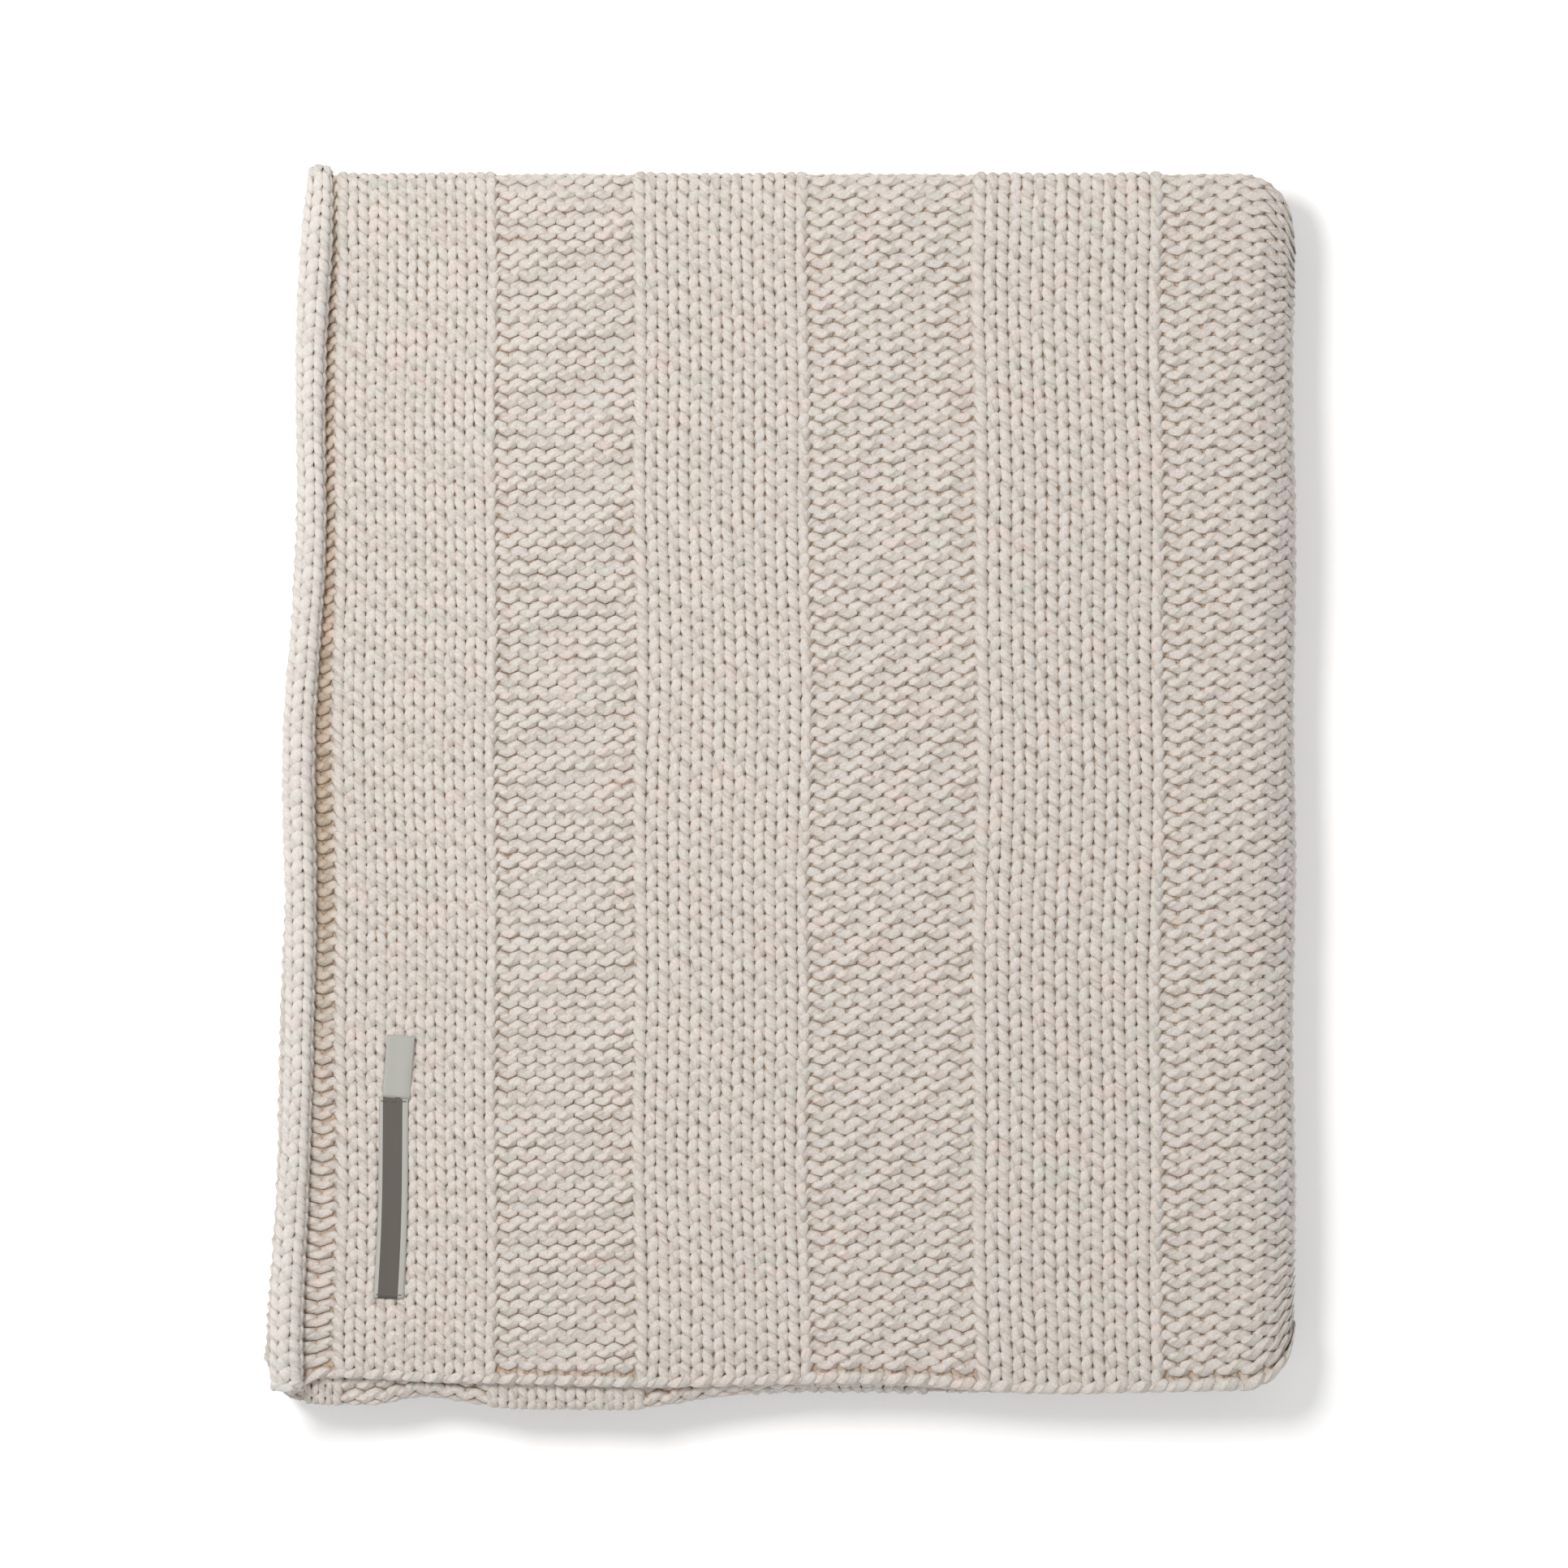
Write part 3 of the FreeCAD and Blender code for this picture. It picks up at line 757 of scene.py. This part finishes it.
def bands(name, rows, first, last, detail, body):
    """Knitting from first to last, one piece to each rib band."""
    made = []
    inner_cuts = [cut for cut in range(SELVEDGE, WALES, BAND) if first < cut < last]
    cuts = [first] + inner_cuts + [last]
    for number, (low, high) in enumerate(zip(cuts[:-1], cuts[1:]), 1):
        made.append(knit(f"{name}_{number}", rows, low, high, detail, body))
    return made


def ground(name, first, last, body, bend=None):
    """The plain inner face of one part of the panel, all three layers of it."""
    column, row = 0.006, 0.004
    across = np.linspace(first, last, max(int((last - first) / column), 6) + 1)
    down = np.linspace(0, PANEL_LENGTH, int(PANEL_LENGTH / row) + 1)
    along, run = np.meshgrid(across, down)
    points = fold(along, run, np.zeros_like(along))
    index = np.arange(along.size).reshape(along.shape)
    return hold(mesh_object(name, points.reshape(-1, 3), grid_faces(index), PAINTED_SHADE_GROUND), body, bend)


def chain_centre(count):
    """The two lines of the bound-off chain, which wind round each other from wale to wale."""
    along = np.interp(count, WALE_MIDDLES, CENTRES)
    turn = 2 * math.pi * count
    edge, swing, sway, apart, ripple, shake = 0.0006, 0.0007, 0.0008, 0.0011, 0.0005, 0.00006
    lines = []
    for side in (1, -1):
        run = edge + side * swing * np.sin(turn) + random.normal(0, shake, count.size)
        shifted = along + sway * side * np.sin(turn + 0.6)
        lines.append(np.stack([shifted, run, side * apart + ripple * np.cos(turn)], axis=-1))
    return np.stack(lines)


def bound_edge(name, first, last, detail, body, bend=None):
    """The bound-off chain along the front edge of the outer layer."""
    segments, sides = detail
    count = np.linspace(first, last, int(round((last - first) * segments)) + 1)
    centre = chain_centre(count)
    plump = 0.88 + 0.12 * np.sin(2 * math.pi * count + 1.2)
    radius = YARN_SHARE * np.interp(count, WALE_MIDDLES, WIDTHS) * plump
    rings = rings_round(centre, radius[None, :, None], sides, FLATTEN)
    tint = between(TINT, np.array([0, 1]), count)
    made = tube_object(name, rings, lengths_along(centre), tint, YARN, shaded=False)
    return hold(made, body, bend)


cover_yarn = bands("cover_rib", OUTER_ROWS, 0.0, W_COVER, FINE, "cover")
turn_yarn = [knit("turn_rib_outer", OUTER_ROWS, W_COVER, W_TURN, FINE, None, OUTER_BEND)]
base_yarn = bands("base_rib", OUTER_ROWS, W_TURN, W_BASE, COARSE, "base")
base_yarn += [knit("left_turn_rib", OUTER_ROWS, W_BASE, W_LEFT, COARSE, "base")]
tucked_yarn = bands("tucked_rib", OUTER_ROWS, W_LEFT, W_TUCKED, COARSE, "base")

cover_yarn += [
    bound_edge("cover_bound_edge", 0.0, W_COVER, FINE, "cover"),
    knit("cover_back_rim", BACK_RIM_ROWS, INNER_EDGE, W_COVER, COARSE, "cover"),
    knit("cover_front_rim", FRONT_RIM_ROWS, INNER_EDGE, W_COVER, FINE, "cover"),
    knit("cover_side_rim", MIDDLE_ROWS, INNER_EDGE, SELVEDGE + SIDE_WALES, COARSE, "cover"),
]
cover_yarn += bands("cover_under_rib", INNER_ROWS, INNER_EDGE, W_COVER, COARSE, "cover")
base_yarn += [
    bound_edge("base_bound_edge", W_TURN, W_LEFT, COARSE, "base"),
    knit("base_back_rim", BACK_RIM_ROWS, W_TURN, W_LEFT, COARSE, "base"),
    knit("base_front_rim", FRONT_RIM_ROWS, W_TURN, W_LEFT, COARSE, "base"),
    knit("base_back_edge", LAST_ROWS, W_TURN, W_LEFT, COARSE, "base"),
]
tucked_yarn += [
    bound_edge("tucked_bound_edge", W_LEFT, W_TUCKED, COARSE, "base"),
    knit("tucked_back_rim", BACK_RIM_ROWS, W_LEFT, W_TUCKED, COARSE, "base"),
    knit("tucked_front_rim", FRONT_RIM_ROWS, W_LEFT, W_TUCKED, COARSE, "base"),
    knit("tucked_back_edge", LAST_ROWS, W_LEFT, W_TUCKED, COARSE, "base"),
    knit("tucked_side_rim", MIDDLE_ROWS, W_TUCKED - SIDE_WALES, W_TUCKED, COARSE, "base"),
    knit("tucked_side_edge", INNER_ROWS, W_TUCKED - SIDE_WALES, W_TUCKED, COARSE, "base"),
]
turn_yarn += [
    bound_edge("turn_bound_edge", W_COVER, W_TURN, FINE, None, OUTER_BEND),
    knit("turn_back_rim", BACK_RIM_ROWS, W_COVER, W_TURN, COARSE, None, BACK_BEND),
    knit("turn_front_rim", FRONT_RIM_ROWS, W_COVER, W_TURN, COARSE, None, INNER_BEND),
    knit("turn_under_rib", INNER_ROWS, W_COVER, W_TURN, COARSE, None, INNER_BEND),
]

CLOTH_REACH = 0.013                          # ground cloth left of the cover's first knit band
cover_ground = ground("cover_cloth", -CLOTH_REACH, COVER_END, "cover")
turn_ground = ground("turn_cloth", COVER_END, TURN_END, None, INNER_BEND)
base_ground = ground("base_cloth", TURN_END, LEFT_END, "base")
tucked_ground = ground("tucked_cloth", LEFT_END, TUCKED_END, "base")
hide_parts("cover_third", "selvedge_roll")
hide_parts("right_turn")
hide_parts("base_third", "left_turn")
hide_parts("tucked_third")

# ---------------------------------------------------------------------------------------------
# Label, tag and thread
# ---------------------------------------------------------------------------------------------
LABEL_WIDTH, LABEL_LENGTH, LABEL_THICKNESS = 0.0124, 0.0836, 0.0007
LABEL_TURN = math.radians(-1.5)
LABEL_LIFT = CREST - 0.0001                  # underside of the label, above the middle of the cloth
LABEL_CORNER = (label_low.x, label_low.y - LABEL_WIDTH * math.sin(LABEL_TURN))
TAG_WIDTH, TAG_LENGTH, TAG_THICKNESS = 0.0116, 0.0260, 0.0003
TAG_TURN = math.radians(-4.8)
TAG_UNDER_LABEL = 0.0010
TAG_CORNER = (tag_low.x, tag_low.y - TAG_WIDTH * math.sin(TAG_TURN) - TAG_UNDER_LABEL)
TAG_LIFT, TAG_CURL = 0.0002, 0.0014          # above the label's underside; more at its back right corner
STITCHES_PER_END, STITCH_INSET, STITCH_REACH, STITCH_POINTS = 3, 0.0016, 0.0011, 9
THREAD_RADIUS, THREAD_SIDES = 0.00022, 6


def ribbon_point(corner, turn, across, along):
    """X and y of a point of a ribbon that is turned about its corner."""
    x = corner[0] + across * math.cos(turn) - along * math.sin(turn)
    y = corner[1] + across * math.sin(turn) + along * math.cos(turn)
    return x, y


def ribbon(name, corner, turn, size, lift, curl, material):
    """A thin strip laid on the cover: it follows the cloth, sagging a little between the ribs."""
    width, length, thickness = size
    columns, rows = 14, int(length / 0.0015)
    across, along = np.meshgrid(np.linspace(0, 1, columns + 1), np.linspace(0, 1, rows + 1))
    x, y = ribbon_point(corner, turn, across * width, along * length)
    sag = 0.00012 * np.sin(across * 9.0 + 1.0) + 0.0002 * np.sin(along * 11.0 + across * 2.0)
    edge = 0.0004 * (2 * across - 1) ** 4
    under = lift + curl * along * across + sag - edge
    points = [fold(x - RIB_LEFT_X, y + FRONT_EDGE, under + rise) for rise in (thickness, 0.0)]
    count = across.size
    index = np.arange(count).reshape(across.shape)
    over = grid_faces(index)
    rim = np.concatenate([index[0, :], index[1:, -1], index[-1, -2::-1], index[-2:0:-1, 0]])
    after = np.roll(rim, -1)
    walls = np.stack([rim + count, after + count, after, rim], axis=-1)
    faces = np.concatenate([over, over[:, ::-1] + count, walls])
    made = mesh_object(name, np.concatenate(points).reshape(-1, 3), faces, material)
    set_attribute(made, "across", np.tile(across.ravel(), 2))
    set_attribute(made, "along", np.tile(along.ravel(), 2))
    hold(made, "cover")
    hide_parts(name)


def sewing_stitches(material):
    """Short stitches of thread across each end of the label."""
    lines = []
    reach = np.linspace(-1, 1, STITCH_POINTS)
    rise = LABEL_LIFT + LABEL_THICKNESS + 0.00025 * (1 - reach ** 4)
    for end in (STITCH_INSET, LABEL_LENGTH - STITCH_INSET):
        for number in range(STITCHES_PER_END):
            middle = (number + 0.5) * LABEL_WIDTH / STITCHES_PER_END
            x, y = ribbon_point(LABEL_CORNER, LABEL_TURN, middle + reach * STITCH_REACH, end)
            lines.append(np.stack([x - RIB_LEFT_X, y + FRONT_EDGE, rise], axis=-1))
    points = rings_round(np.stack(lines), np.full((1, 1, 1), THREAD_RADIUS), THREAD_SIDES)
    length = np.tile(np.linspace(0, 2 * STITCH_REACH, STITCH_POINTS), (len(lines), 1))
    made = tube_object("label_stitches", points, length, np.zeros_like(length), material)
    hold(made, "cover")
    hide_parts("label_stitches")


LABEL_RIBBON = ribbon_material("label_ribbon", [(0.0, PALE), (0.135, TAUPE), (0.80, PALE)], 0.55, 170)
TAG_RIBBON = ribbon_material("tag_satin", [(0.0, PALE), (0.07, SATIN), (0.93, PALE)], 0.4, 60)
ribbon("woven_label", LABEL_CORNER, LABEL_TURN, (LABEL_WIDTH, LABEL_LENGTH, LABEL_THICKNESS),
       LABEL_LIFT, 0.0, LABEL_RIBBON)
ribbon("care_tag", TAG_CORNER, TAG_TURN, (TAG_WIDTH, TAG_LENGTH, TAG_THICKNESS),
       LABEL_LIFT + TAG_LIFT, TAG_CURL, TAG_RIBBON)
sewing_stitches(thread_material())

# ---------------------------------------------------------------------------------------------
# Floor, light and camera
# ---------------------------------------------------------------------------------------------
VIEW_WIDTH = 0.649                           # what the picture spans at the height of the cover
CAMERA_HEIGHT = 3.2
CAMERA_X = -0.0013
FLOOR_REACH, FLOOR_Z = 6.0, -0.0004
FLOOR_GREY, FLOOR_GLOW = 0.93, 0.17
SKY_STRENGTH = 0.60
LAMP_PLACE, LAMP_SIZE, LAMP_POWER = (-0.68, 0.50, 1.60), 0.50, 18.5
LAMP_COLOUR = (1.0, 0.99, 0.975)


def white_floor():
    """A large white floor that glows a little, so that it reads as plain white."""
    material, tree, shader = node_material("white_floor", 0.9)
    shader.inputs["Base Color"].default_value = (FLOOR_GREY, FLOOR_GREY, FLOOR_GREY, 1)
    shader.inputs["Specular IOR Level"].default_value = 0.0
    shader.inputs["Emission Color"].default_value = (*WHITE, 1)
    shader.inputs["Emission Strength"].default_value = FLOOR_GLOW
    signs = ((-1, -1), (1, -1), (1, 1), (-1, 1))
    corners = np.array([[x * FLOOR_REACH, y * FLOOR_REACH, FLOOR_Z] for x, y in signs])
    floor = mesh_object("floor", corners, np.array([[0, 1, 2, 3]]), material, False)


def light(scene):
    """An even white sky, and one soft lamp at the upper left."""
    world = bpy.data.worlds.new("studio")
    world.use_nodes = True
    sky = world.node_tree.nodes["Background"]
    sky.inputs[0].default_value = (*WHITE, 1)
    sky.inputs[1].default_value = SKY_STRENGTH
    scene.world = world
    lamp = bpy.data.lights.new("window", "AREA")
    lamp.energy = LAMP_POWER
    lamp.shape = "DISK"
    lamp.size = LAMP_SIZE
    lamp.color = LAMP_COLOUR
    holder = bpy.data.objects.new("window", lamp)
    holder.location = LAMP_PLACE
    holder.rotation_euler = (-holder.location).to_track_quat("-Z", "Y").to_euler()
    scene.collection.objects.link(holder)


def camera_above(scene):
    """A camera that looks straight down."""
    eye = bpy.data.cameras.new("camera")
    eye.sensor_width = 36.0
    eye.lens = eye.sensor_width * (CAMERA_HEIGHT - COVER_TOP) / VIEW_WIDTH
    eye.clip_end = 20.0
    camera = bpy.data.objects.new("camera", eye)
    camera.location = (CAMERA_X, 0, CAMERA_HEIGHT)
    scene.collection.objects.link(camera)
    scene.camera = camera


bpy.context.scene.view_settings.view_transform = "Standard"
white_floor()
light(bpy.context.scene)
camera_above(bpy.context.scene)
